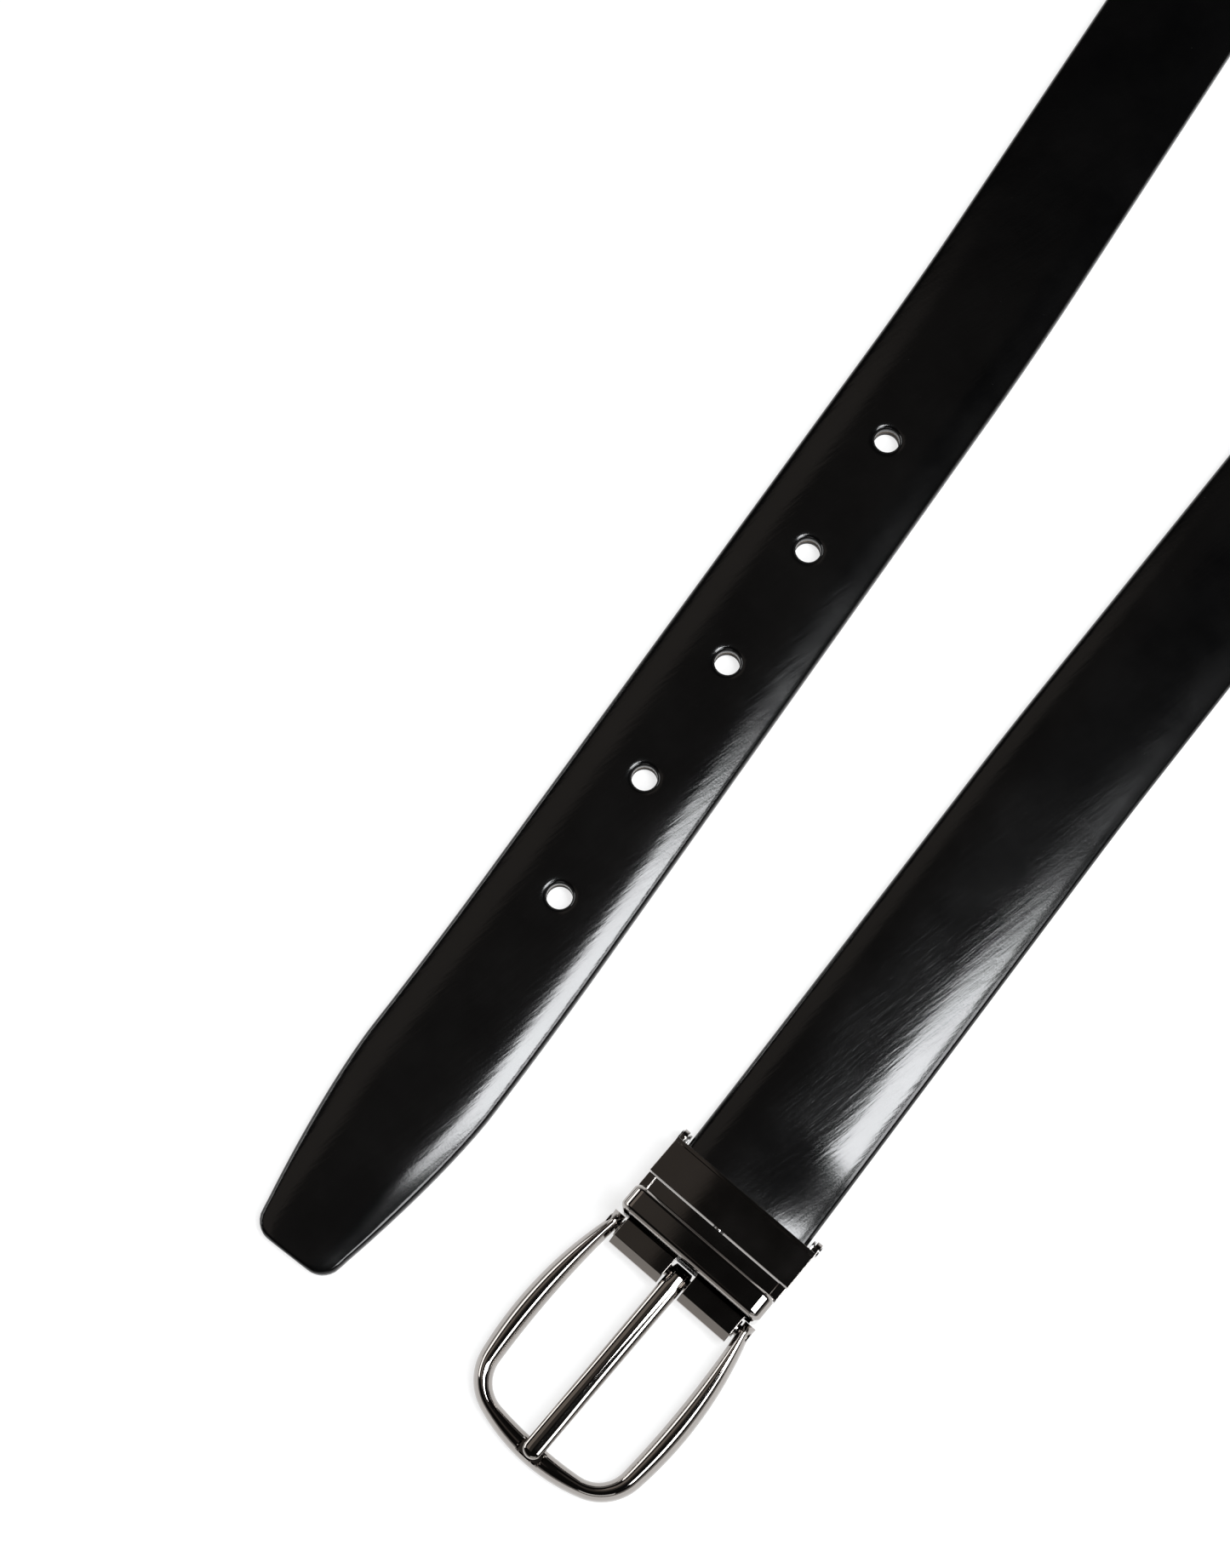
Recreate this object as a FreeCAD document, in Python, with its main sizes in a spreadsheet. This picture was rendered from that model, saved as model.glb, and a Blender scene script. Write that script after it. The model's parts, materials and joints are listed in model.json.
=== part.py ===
import FreeCAD, Part
import math
import os
import Sketcher
from FreeCAD import Placement, Rotation, Vector

# A 30 mm dress belt with a swivelling clamp buckle.
# X runs along the line of the punched holes, away from the tip, and Z is up.
# The origin is where the middle hole's axis meets the surface that the belt lies on.
# The buckle's pieces are drawn in a frame of their own: its x axis points from the hinge
# pin towards the strap, its y axis lies along the pin, and its z is the belt's z.

SIZES = {
    # strap
    "belt_size": 950.0,
    "strap_width": 30.0,
    "lining_thick": 1.2,
    "filler_crown": 1.2,
    "filler_margin": 2.5,
    "filler_start": 8.0,
    "edge_thick": 2.4,
    "face_crown": 1.4,
    "crown_power": 4.0,
    # tip and holes
    "hole_radius": 2.7,
    "hole_pitch": 30.0,
    "hole_count": 5.0,
    "tip_reach": 148.0,
    "tip_half_width": 9.6,
    "tip_corner": 4.8,
    "taper_length": 45.0,
    "taper_power": 1.6,
    # route of the strap on the surface
    "tip_bend_at": -85.0,
    "tip_bend_angle": 2.2,
    "run_bend_at": 95.0,
    "run_bend_angle": 2.15,
    "return_bend_x": 20.0,
    "return_bend_angle": 4.3,
    "buckle_run_angle": 3.05,
    "bend_radius": 1000.0,
    "tip_twist_start": 352.0,
    "tip_twist_length": 125.0,
    "return_twist_length": 150.0,
    "return_twist_end": 215.0,
    "clamp_lift": 1.9,
    "lift_start": 26.0,
    "lift_end": 2.0,
    # buckle's place
    "pin_x": -108.85,
    "pin_y": -62.05,
    "buckle_angle": -6.0,
    "axis_height": 3.6,
    # clamp
    "clamp_near": 12.0,
    "clamp_far": 20.4,
    "clamp_half": 17.3,
    "clamp_height": 7.2,
    "clamp_wall": 1.15,
    "clamp_plate": 1.3,
    "clamp_end_wall": 1.4,
    "lip_width": 0.8,
    "lip_rise": 0.25,
    "ear_radius": 1.6,
    "ear_reach": 1.1,
    "ear_height": 3.0,
    "strap_stop": 14.3,
    # flap
    "flap_half": 15.95,
    "flap_sheet": 1.0,
    "tab_sheet": 0.5,
    "flap_ground": 0.15,
    "flap_near": 13.7,
    "flap_far": 20.3,
    "tab_radius": 1.3,
    "tooth_height": 0.55,
    "tooth_base": 1.2,
    "tooth_half": 13.0,
    "rivet_radius": 0.8,
    "rivet_head": 1.2,
    "rivet_head_thick": 0.3,
    "running_gap": 0.05,
    # head
    "head_near": 2.6,
    "head_far": 11.7,
    "head_half": 17.1,
    "head_thick": 5.4,
    "cheek_near": 8.5,
    "cheek_sheet": 1.7,
    "cheek_rise": 0.9,
    "barrel_front": 3.4,
    "barrel_bevel": 1.6,
    "barrel_inner": 2.55,
    "barrel_outer": 14.5,
    "boss_radius": 1.9,
    "boss_rise": 0.35,
    "pin_radius": 1.2,
    "pin_half": 17.6,
    "stud_radius": 1.2,
    "stud_head": 1.9,
    "stud_head_thick": 1.0,
    "stud_front": 3.6,
    "stud_flange": 2.2,
    "stud_flange_thick": 0.6,
    "seat_radius": 2.0,
    "seat_depth": 3.6,
    "spring_sheet": 0.45,
    # keeper
    "keeper_near": 2.6,
    "keeper_width": 5.7,
    "keeper_half": 17.05,
    "keeper_leg": 1.55,
    "keeper_floor": 12.0,
    "keeper_top": 13.5,
    "keeper_bend": 2.5,
    "keeper_bevel": 0.8,
    # frame
    "frame_thick": 4.4,
    "frame_reach": 45.2,
    "frame_eye": 2.3,
    "frame_tilt": 1.775,
    "arm_outer": 17.65,
    "arm_inner": 15.1,
    "frame_outer": 20.8,
    "frame_outer_at": 22.0,
    "frame_inner": 16.1,
    "frame_inner_at": 20.0,
    "bar_width": 4.5,
    "bar_outer_radius": 38.5,
    "bar_inner_radius": 83.0,
    "corner_outer": 11.0,
    "corner_inner": 6.5,
    "frame_round": 1.0,
    "notch_half": 2.6,
    "notch_depth": 1.0,
    "notch_lip": 1.0,
    # prong
    "prong_width": 4.4,
    "prong_eye": 2.2,
    "prong_reach": 44.0,
    "prong_root": 2.8,
    "prong_tip": 2.0,
    "prong_tip_base": 3.55,
    "prong_round": 0.9,
}

doc = FreeCAD.newDocument("belt")
sheet = doc.addObject("Spreadsheet::Sheet", "Sizes")
for row, (alias, value) in enumerate(SIZES.items(), 1):
    sheet.set("A%d" % row, alias)
    sheet.set("B%d" % row, str(value))
    sheet.setAlias("B%d" % row, alias)
doc.recompute()


def size(alias):
    """The value of one driving dimension, read from the sheet."""
    return float(sheet.get(alias))


def bind(item, **formulas):
    """Bind properties of an object to formulas of the sheet's aliases, written as {alias}."""
    for prop, formula in formulas.items():
        item.setExpression(prop.replace("__", "."), formula.replace("{", "Sizes.").replace("}", ""))


# ---------------------------------------------------------------- Part helpers

def block(name, x, y, z, length, width, height):
    """A box whose low corner and sides follow the sheet."""
    item = doc.addObject("Part::Box", name)
    bind(item, Length=length, Width=width, Height=height,
         Placement__Base__x=x, Placement__Base__y=y, Placement__Base__z=z)
    return item


def rod(name, x, y, z, radius, length, along="y"):
    """A cylinder whose start, radius and length follow the sheet, along +y, +x or +z."""
    item = doc.addObject("Part::Cylinder", name)
    turns = {
        "x": Rotation(Vector(0, 1, 0), 90),
        "y": Rotation(Vector(1, 0, 0), -90),
        "z": Rotation(),
    }
    item.Placement = Placement(Vector(), turns[along])
    bind(item, Radius=radius, Height=length,
         Placement__Base__x=x, Placement__Base__y=y, Placement__Base__z=z)
    return item


def fuse(name, *items):
    """One solid from several that touch or overlap."""
    joined = doc.addObject("Part::MultiFuse", name)
    joined.Shapes = list(items)
    joined.Refine = True
    return joined


def cut(name, base, tool):
    """The base without the tool."""
    item = doc.addObject("Part::Cut", name)
    item.Base = base
    item.Tool = tool
    return item


# ---------------------------------------------------------- PartDesign helpers

def origin_plane(body, role):
    """One of a body's own origin planes."""
    return next(f for f in body.Origin.OriginFeatures if f.Role == role)


def sketch_on(body, name, role):
    """An empty sketch on one of the body's origin planes."""
    sketch = body.newObject("Sketcher::SketchObject", name)
    sketch.AttachmentSupport = [(origin_plane(body, role), "")]
    sketch.MapMode = "FlatFace"
    return sketch


def add_line(sketch, start, end):
    """A straight side of an outline."""
    sketch.addGeometry(Part.LineSegment(Vector(*start, 0), Vector(*end, 0)), False)


def add_arc(sketch, start, middle, end):
    """A round side of an outline, through three points."""
    arc = Part.Arc(Vector(*start, 0), Vector(*middle, 0), Vector(*end, 0))
    sketch.addGeometry(arc, False)


def polygon_on(sketch, corners):
    """A closed outline of straight sides."""
    for start, end in zip(corners, corners[1:] + corners[:1]):
        add_line(sketch, start, end)


def long_edges(feature, keep):
    """The names of a feature's edges that a test picks."""
    return ["Edge%d" % n for n, edge in enumerate(feature.Shape.Edges, 1) if keep(edge)]


# ------------------------------------------------------------------- the route

def walk(pose, step):
    """The pose at the end of a straight run or an arc: step is a length and a turn."""
    x, y, heading = pose
    length, turn = step
    if abs(turn) < 1e-9:
        return (x + length * math.cos(heading), y + length * math.sin(heading), heading)
    radius = length / turn
    return (x + radius * (math.sin(heading + turn) - math.sin(heading)),
            y - radius * (math.cos(heading + turn) - math.cos(heading)),
            heading + turn)


def strap_length():
    """The cut length: from the tip's end to the middle hole, and on to its stop in the clamp."""
    return size("belt_size") - size("strap_stop") + size("tip_reach")


def buckle_point(along, across=0.0):
    """A point of the buckle's own frame, on the surface that the belt lies on."""
    turn = math.radians(size("buckle_angle"))
    return (size("pin_x") + along * math.cos(turn) - across * math.sin(turn),
            size("pin_y") + along * math.sin(turn) + across * math.cos(turn))


def route_steps():
    """The start pose and the steps of the strap's route, from the tip's end to the clamp.

    Both runs are straight with slight bends. They open out like a narrow V, and one arc
    that is tangent to both joins them, where the length of the strap puts it.
    """
    tip_turn = math.radians(size("tip_bend_angle"))
    run_turn = math.radians(size("run_bend_angle"))
    back_turn = math.radians(size("return_bend_angle"))
    end_turn = math.radians(size("buckle_run_angle"))
    bend = size("bend_radius")
    tip_run = size("tip_reach") + size("tip_bend_at")
    start = (size("tip_bend_at") - tip_run * math.cos(tip_turn), tip_run * math.sin(tip_turn), -tip_turn)
    hole_run = size("run_bend_at") - size("tip_bend_at")

    mouth = buckle_point(size("clamp_far"))
    stop_along = size("clamp_far") - size("strap_stop")
    end = (mouth[0] - stop_along * math.cos(end_turn), mouth[1] + stop_along * math.sin(end_turn))
    bend_run = (size("return_bend_x") - end[0]) / math.cos(end_turn)
    bend_y = end[1] - bend_run * math.sin(end_turn)

    # where the two long runs would meet, behind the tip
    slope_a = math.tan(run_turn)
    slope_b = -math.tan(back_turn)
    meet_x = ((bend_y - slope_b * size("return_bend_x")) + slope_a * size("run_bend_at")) / (slope_a - slope_b)
    used_a = (size("run_bend_at") - meet_x) / math.cos(run_turn)
    used_b = (size("return_bend_x") - meet_x) / math.cos(back_turn)
    opening = run_turn + back_turn
    spare = strap_length() - tip_run - hole_run - bend_run + used_a + used_b
    tangent = spare / (2 + math.tan(opening / 2) * (math.pi + opening))
    loop_radius = tangent * math.tan(opening / 2)

    def cutback(turn):
        return bend * math.tan(abs(turn) / 2)

    tip_cut = cutback(tip_turn)
    run_cut = cutback(run_turn)
    back_cut = cutback(back_turn - end_turn)
    steps = [
        (tip_run - tip_cut, 0.0),
        (bend * tip_turn, tip_turn),
        (hole_run - tip_cut - run_cut, 0.0),
        (bend * run_turn, run_turn),
        (tangent - used_a - run_cut, 0.0),
        (loop_radius * (math.pi + opening), -(math.pi + opening)),
        (tangent - used_b - back_cut, 0.0),
        (bend * (back_turn - end_turn), back_turn - end_turn),
        (bend_run - back_cut, 0.0),
    ]
    return start, steps


START, STEPS = route_steps()
LENGTH = sum(length for length, turn in STEPS)


def pose_at(distance):
    """Where the strap's centre line is, and its heading, at a distance from the tip."""
    pose = START
    left = distance
    for length, turn in STEPS:
        if left <= length:
            return walk(pose, (left, turn * left / length))
        pose = walk(pose, (length, turn))
        left -= length
    return pose


def ease(value):
    """A smooth step from 0 to 1."""
    value = min(1.0, max(0.0, value))
    return value * value * (3 - 2 * value)


def roll_at(distance):
    """How far the strap has turned up on its edge, in radians."""
    up = ease((distance - size("tip_twist_start")) / size("tip_twist_length"))
    down_end = LENGTH - size("return_twist_end")
    down = ease((down_end - distance) / size("return_twist_length"))
    return math.pi / 2 * min(up, down)


def lift_at(distance):
    """How far the strap has risen from the surface on its way into the clamp."""
    to_end = LENGTH - distance
    reach = size("lift_start") - size("lift_end")
    return size("clamp_lift") * ease((size("lift_start") - to_end) / reach)


def half_width_at(distance):
    """Half the strap's width: a rounded blunt end, and a taper that eases into the full width."""
    full = size("strap_width") / 2
    corner = size("tip_corner")
    if distance < corner:
        return size("tip_half_width") - corner + math.sqrt(corner ** 2 - (corner - distance) ** 2)
    if distance < size("taper_length"):
        share = (distance - corner) / (size("taper_length") - corner)
        return full - (full - size("tip_half_width")) * (1 - share) ** size("taper_power")
    return full


def spread(start, end, pitch):
    """Evenly spaced distances from start to end, both included."""
    count = max(1, round((end - start) / pitch))
    return [start + (end - start) * n / count for n in range(count + 1)]


def stations():
    """The distances from the tip at which the strap's section is drawn."""
    marks = [0.0, 0.4, 1.2, 2.6, size("tip_corner")]
    marks += [size("filler_start") - 2, size("filler_start"), size("filler_start") + 6]
    marks += spread(size("tip_corner"), size("taper_length"), 7)
    travelled = 0.0
    for length, turn in STEPS:
        if turn:
            marks += spread(travelled, travelled + length, max(6.0, length / 30) if abs(turn) > 1 else 19)
        travelled += length
    twist_start = size("tip_twist_start")
    marks += spread(twist_start, twist_start + size("tip_twist_length"), 9)
    untwist_end = LENGTH - size("return_twist_end")
    marks += spread(untwist_end - size("return_twist_length"), untwist_end, 9)
    marks += spread(LENGTH - size("lift_start"), LENGTH - size("lift_end"), 3.4)
    marks += [LENGTH]
    kept = []
    for mark in sorted(marks):
        if not kept or mark - kept[-1] > 0.35:
            kept.append(mark)
    return kept


# ------------------------------------------------------------------- the strap

DOME = [-1.0, -0.86, -0.6, 0.0, 0.6, 0.86, 1.0]


def top_height(share):
    """Height of the strap's face at a share of its half width."""
    return size("edge_thick") + size("face_crown") * (1 - share ** size("crown_power"))


def filler_half(distance):
    """Half the width of the core."""
    return half_width_at(distance) - size("filler_margin")


def filler_rise(distance):
    """How high the core stands on the lining, which fades out at the tip."""
    start = size("filler_start")
    return size("filler_crown") * min(1.0, max(0.0, (distance - start + 0.7) / 6.0))


def lining_section(distance):
    """Corners of the lining's section: across the strap, and up from its underside."""
    half = half_width_at(distance)
    top = size("lining_thick")
    return [(half, 0.0), (-half, 0.0), (-half, top), (half, top)]


def core_line(distance):
    """The core's section: along its top from one side to the other; its underside closes it."""
    half = filler_half(distance)
    rise = filler_rise(distance) if distance >= size("filler_start") else 0.0
    return [(half * share, size("lining_thick") + rise * (1 - share ** size("crown_power"))) for share in DOME]


def face_section(distance):
    """Corners of the face leather's section."""
    half = half_width_at(distance)
    base = size("lining_thick")
    dome = [(half * share, top_height(share)) for share in reversed(DOME)]
    return [(-half, base)] + core_line(distance) + [(half, base)] + dome


def placed(distance, corners):
    """A section's corners in space, rolled about the strap's centre line."""
    x, y, heading = pose_at(distance)
    roll = roll_at(distance)
    left = Vector(-math.sin(heading), math.cos(heading), 0)
    up = Vector(0, 0, 1)
    across = left * math.cos(roll) - up * math.sin(roll)
    outward = up * math.cos(roll) + left * math.sin(roll)
    rise = size("strap_width") / 2 * math.sin(roll) + lift_at(distance)
    centre = Vector(x, y, rise)
    return [centre + across * w + outward * h for w, h in corners]


def flat_or_ruled(a, b, c, d):
    """The face between two edges: a plane where its four corners allow one."""
    normal = (b - a).cross(d - a)
    if normal.Length > 1e-9 and abs((c - a).dot(normal.normalize())) < 1e-6:
        return Part.Face(Part.makePolygon([a, b, c, d, a]))
    return Part.makeRuledSurface(Part.makeLine(a, b), Part.makeLine(d, c))


def band(name, section, start=0.0):
    """A layer of the strap: its section carried along the route."""
    marks = [mark for mark in stations() if mark >= start]
    rings = [placed(mark, section(mark)) for mark in marks]
    faces = []
    for ring, following in zip(rings, rings[1:]):
        for n in range(len(ring)):
            after = (n + 1) % len(ring)
            faces.append(flat_or_ruled(ring[n], ring[after], following[after], following[n]))
    for ring in (rings[0], rings[-1]):
        faces.append(Part.Face(Part.makePolygon(ring + [ring[0]])))
    shell = Part.makeShell(faces)
    shell.sewShape()
    solid = Part.makeSolid(shell)
    if solid.Volume < 0:
        solid.reverse()
    item = doc.addObject("Part::Feature", name)
    item.Shape = solid
    return item


def hole_cutters():
    """The punches of the holes, evenly spaced about the middle hole."""
    punches = []
    count = int(size("hole_count"))
    for n in range(count):
        step = n - (count - 1) // 2
        punches.append(rod("punch_%d" % (n + 1), "%d * {hole_pitch}" % step, "0", "-1",
                           "{hole_radius}", "10", along="z"))
    row_of_punches = doc.addObject("Part::Compound", "punches")
    row_of_punches.Links = punches
    return row_of_punches


def make_strap():
    """Lining, core and face leather, punched through together."""
    punches = hole_cutters()
    layers = {
        "strap_lining": band("lining_band", lining_section),
        "strap_filler": band("filler_band", core_line, size("filler_start")),
        "strap_face": band("face_band", face_section),
    }
    return {name: cut(name, layer, punches) for name, layer in layers.items()}


# ------------------------------------------------------------------- the clamp

def make_clamp_housing():
    """A box open to the strap and downwards, with a lip and two ears for the rivets."""
    outer = block("housing_outer", "{clamp_near}", "-{clamp_half}", "0",
                  "{clamp_far} - {clamp_near}", "2 * {clamp_half}", "{clamp_height}")
    lip = block("housing_lip", "{clamp_far} - {lip_width}", "-{clamp_half}", "{clamp_height}",
                "{lip_width}", "2 * {clamp_half}", "{lip_rise}")
    ears = []
    for side, low in (("left", "{clamp_half} - {clamp_wall}"), ("right", "-{clamp_half}")):
        ears.append(block("ear_root_" + side, "{clamp_far} - 0.5", low, "{ear_height} - {ear_radius}",
                          "{ear_reach} + 0.5", "{clamp_wall}", "2 * {ear_radius}"))
        ears.append(rod("ear_round_" + side, "{clamp_far} + {ear_reach}", low, "{ear_height}",
                        "{ear_radius}", "{clamp_wall}"))
    solid = fuse("housing_solid", outer, lip, *ears)
    inside = block("housing_inside", "{clamp_near} + {clamp_end_wall}", "{clamp_wall} - {clamp_half}", "-1",
                   "{clamp_far} - {clamp_near}", "2 * ({clamp_half} - {clamp_wall})",
                   "{clamp_height} - {clamp_plate} + 1")
    rivet_bore = rod("housing_rivet_bore", "{clamp_far} + {ear_reach}", "-{clamp_half} - 1", "{ear_height}",
                     "{rivet_radius}", "2 * {clamp_half} + 2")
    stud_bore = rod("housing_stud_bore", "{clamp_near} - 1", "0", "{axis_height}",
                    "{stud_radius}", "{clamp_end_wall} + 2", along="x")
    return cut("clamp_housing", solid, fuse("housing_tools", inside, rivet_bore, stud_bore))


def tooth_row(name, x):
    """A ridge of the flap that bites into the lining, as long as the strap is wide."""
    ridge = doc.addObject("Part::Wedge", name)
    for prop in ("Xmin", "Zmin", "Ymin"):
        ridge.setExpression(prop, "0")
    bind(ridge, Xmax="{tooth_base}", Ymax="{tooth_height}", Zmax="2 * {tooth_half}",
         X2min="{tooth_base} / 2 - 0.05", X2max="{tooth_base} / 2 + 0.05",
         Z2min="0.3", Z2max="2 * {tooth_half} - 0.3")
    ridge.Placement = Placement(Vector(), Rotation(Vector(1, 0, 0), 90))
    bind(ridge, Placement__Base__x=x, Placement__Base__y="{tooth_half}",
         Placement__Base__z="{flap_ground} + {flap_sheet}")
    return ridge


def make_clamp_flap():
    """A plate under the strap's end, with two tooth ridges and a tab at each side."""
    plate = block("flap_plate", "{flap_near}", "-{flap_half}", "{flap_ground}",
                  "{flap_far} - {flap_near}", "2 * {flap_half}", "{flap_sheet}")
    pieces = [plate, tooth_row("teeth_near", "{flap_near} + 1.2"), tooth_row("teeth_far", "{flap_near} + 3.4")]
    for side, low in (("left", "{flap_half} - {tab_sheet}"), ("right", "-{flap_half}")):
        pieces.append(block("tab_wall_" + side, "{flap_far} - 3", low, "{flap_ground}",
                            "3", "{tab_sheet}", "{ear_height} + {tab_radius} - {flap_ground}"))
        pieces.append(block("tab_arm_" + side, "{flap_far} - 1", low, "{ear_height} - {tab_radius}",
                            "{clamp_far} + {ear_reach} - {flap_far} + 1", "{tab_sheet}", "2 * {tab_radius}"))
        pieces.append(rod("tab_round_" + side, "{clamp_far} + {ear_reach}", low, "{ear_height}",
                          "{tab_radius}", "{tab_sheet}"))
    bore = rod("flap_bore", "{clamp_far} + {ear_reach}", "-{flap_half} - 1", "{ear_height}",
               "{rivet_radius} + {running_gap}", "2 * {flap_half} + 2")
    return cut("clamp_flap", fuse("flap_solid", *pieces), bore)


def make_flap_rivets():
    """Two headed rivets, one in each ear."""
    rivets = []
    inner = "({flap_half} - {tab_sheet} + 0.05)"
    for side, start, head in (("left", inner, "{clamp_half}"),
                              ("right", "-{clamp_half}", "-{clamp_half} - {rivet_head_thick}")):
        shank = rod("rivet_shank_" + side, "{clamp_far} + {ear_reach}", start, "{ear_height}",
                    "{rivet_radius}", "{clamp_half} - " + inner)
        cap = rod("rivet_cap_" + side, "{clamp_far} + {ear_reach}", head, "{ear_height}",
                  "{rivet_head}", "{rivet_head_thick}")
        rivets.append(fuse("rivet_" + side, shank, cap))
    pair = doc.addObject("Part::Compound", "flap_rivets")
    pair.Links = rivets
    return pair


# ------------------------------------------------------------------ the swivel

def make_swivel_stud():
    """A stud with a flange inside the clamp and a head in the casting's seat."""
    head = rod("stud_cap", "{stud_front}", "0", "{axis_height}", "{stud_head}", "{stud_head_thick}", along="x")
    shank = rod("stud_shank", "{stud_front}", "0", "{axis_height}", "{stud_radius}",
                "{clamp_near} + {clamp_end_wall} + {stud_flange_thick} - {stud_front}", along="x")
    flange = rod("stud_foot", "{clamp_near} + {clamp_end_wall}", "0", "{axis_height}",
                 "{stud_flange}", "{stud_flange_thick}", along="x")
    return fuse("swivel_stud", head, shank, flange)


def make_swivel_spring():
    """A cone washer between the stud's head and the bottom of the seat."""
    body = doc.addObject("PartDesign::Body", "swivel_spring")
    inner = size("stud_radius") + 0.1
    outer = size("stud_head")
    low = size("stud_front") + size("stud_head_thick") + 0.02
    high = size("head_near") + size("seat_depth") - 0.02
    sheet_thick = size("spring_sheet")
    profile = sketch_on(body, "spring_profile", "XY_Plane")
    polygon_on(profile, [(low, inner), (low + sheet_thick, inner), (high, outer), (high - sheet_thick, outer)])
    turned = body.newObject("PartDesign::Revolution", "spring_turn")
    turned.Profile = profile
    turned.ReferenceAxis = (profile, ["H_Axis"])
    turned.Angle = 360.0
    return body


# -------------------------------------------------------------------- the head

def make_barrels():
    """The two barrels that hold the hinge pin, bevelled along their front edges."""
    body = doc.addObject("PartDesign::Body", "barrels")
    half_thick = size("head_thick") / 2
    front = size("barrel_front")
    bevel = size("barrel_bevel")
    profile = sketch_on(body, "barrel_profile", "XZ_Plane")
    rear = size("head_near") + 0.5
    polygon_on(profile, [(rear, -half_thick), (bevel - front, -half_thick), (-front, bevel - half_thick),
                         (-front, half_thick - bevel), (bevel - front, half_thick), (rear, half_thick)])
    pad = body.newObject("PartDesign::Pad", "barrel_pad")
    pad.Profile = profile
    pad.Midplane = True
    bind(pad, Length="2 * {barrel_outer}")
    body.Placement = Placement(Vector(0, 0, size("axis_height")), Rotation())
    return body


def make_buckle_head():
    """The casting: channel floor, cheeks, keeper notches, barrels, pin bore and stud seat."""
    low = "{axis_height} - {head_thick} / 2"
    floor = block("head_floor", "{head_near}", "-{head_half}", low,
                  "{head_far} - {head_near}", "2 * {head_half}", "{head_thick}")
    pieces = [floor, make_barrels()]
    for side, start in (("left", "{head_half} - {cheek_sheet}"), ("right", "-{head_half}")):
        pieces.append(block("cheek_" + side, "{cheek_near}", start, low,
                            "{head_far} - {cheek_near}", "{cheek_sheet}", "{head_thick} + {cheek_rise}"))
    pieces.append(rod("pin_boss", "0", "-{barrel_outer} - {boss_rise}", "{axis_height}",
                      "{boss_radius}", "2 * ({barrel_outer} + {boss_rise})"))
    solid = fuse("head_solid", *pieces)
    slot = block("prong_slot", "-{barrel_front} - 1", "-{barrel_inner}", low + " - 1",
                 "{barrel_front} + 1 + {head_near}", "2 * {barrel_inner}", "{head_thick} + 2")
    notches = []
    for side, start in (("left", "{keeper_half} - {keeper_leg}"), ("right", "-{head_half} - 1")):
        notches.append(block("keeper_notch_" + side, "{head_near} - 1", start, low + " - 1",
                             "{keeper_near} + {keeper_width} - {head_near} + 1.02",
                             "{head_half} + 1 - {keeper_half} + {keeper_leg}", "{head_thick} + 2"))
    pin_bore = rod("pin_bore", "0", "-{head_half}", "{axis_height}", "{pin_radius}", "2 * {head_half}")
    stud_bore = rod("stud_bore", "{head_near} - 1", "0", "{axis_height}",
                    "{stud_radius} + {running_gap}", "{head_far} - {head_near} + 2", along="x")
    seat = rod("stud_seat", "{head_near} - 1", "0", "{axis_height}",
               "{seat_radius}", "{seat_depth} + 1", along="x")
    return cut("buckle_head", solid, fuse("head_tools", slot, *notches, pin_bore, stud_bore, seat))


def make_keeper_loop():
    """A metal band bent over the channel, its legs in the head's notches."""
    body = doc.addObject("PartDesign::Body", "keeper_loop")
    half = size("keeper_half")
    inner = half - size("keeper_leg")
    foot = size("axis_height") - size("head_thick") / 2
    floor = size("keeper_floor")
    top = size("keeper_top")
    bend = size("keeper_bend")
    middle = bend * (1 - math.sqrt(0.5))
    arch = sketch_on(body, "keeper_arch", "YZ_Plane")
    add_line(arch, (-half, foot), (-half, top - bend))
    add_arc(arch, (-half, top - bend), (middle - half, top - middle), (bend - half, top))
    add_line(arch, (bend - half, top), (half - bend, top))
    add_arc(arch, (half - bend, top), (half - middle, top - middle), (half, top - bend))
    add_line(arch, (half, top - bend), (half, foot))
    add_line(arch, (half, foot), (inner, foot))
    add_line(arch, (inner, foot), (inner, floor))
    add_line(arch, (inner, floor), (-inner, floor))
    add_line(arch, (-inner, floor), (-inner, foot))
    add_line(arch, (-inner, foot), (-half, foot))
    pad = body.newObject("PartDesign::Pad", "keeper_pad")
    pad.Profile = arch
    bind(pad, Length="{keeper_width}")
    doc.recompute()

    def on_top(edge):
        ends = [vertex.Point for vertex in edge.Vertexes]
        return all(abs(point.z - top) < 1e-6 for point in ends) and abs(ends[0].x - ends[1].x) < 1e-6

    bevel = body.newObject("PartDesign::Chamfer", "keeper_bevel")
    bevel.Base = (pad, long_edges(pad, on_top))
    bind(bevel, Size="{keeper_bevel}")
    body.Placement = Placement(Vector(size("keeper_near"), 0, 0), Rotation())
    return body


def make_hinge_pin():
    """The pin through barrels, frame and prong."""
    body = doc.addObject("PartDesign::Body", "hinge_pin")
    circle = sketch_on(body, "pin_circle", "XZ_Plane")
    circle.addGeometry(Part.Circle(Vector(), Vector(0, 0, 1), size("pin_radius")), False)
    circle.addConstraint(Sketcher.Constraint("Coincident", 0, 3, -1, 1))
    circle.addConstraint(Sketcher.Constraint("Radius", 0, size("pin_radius")))
    circle.renameConstraint(1, "round")
    bind(circle, Constraints__round="{pin_radius}")
    pad = body.newObject("PartDesign::Pad", "pin_pad")
    pad.Profile = circle
    pad.Midplane = True
    bind(pad, Length="2 * {pin_half}")
    return body


# ------------------------------------------------------------------- the frame

def polar(centre, radius, angle):
    """A point of a circle."""
    return (centre[0] + radius * math.cos(angle), centre[1] + radius * math.sin(angle))


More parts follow.
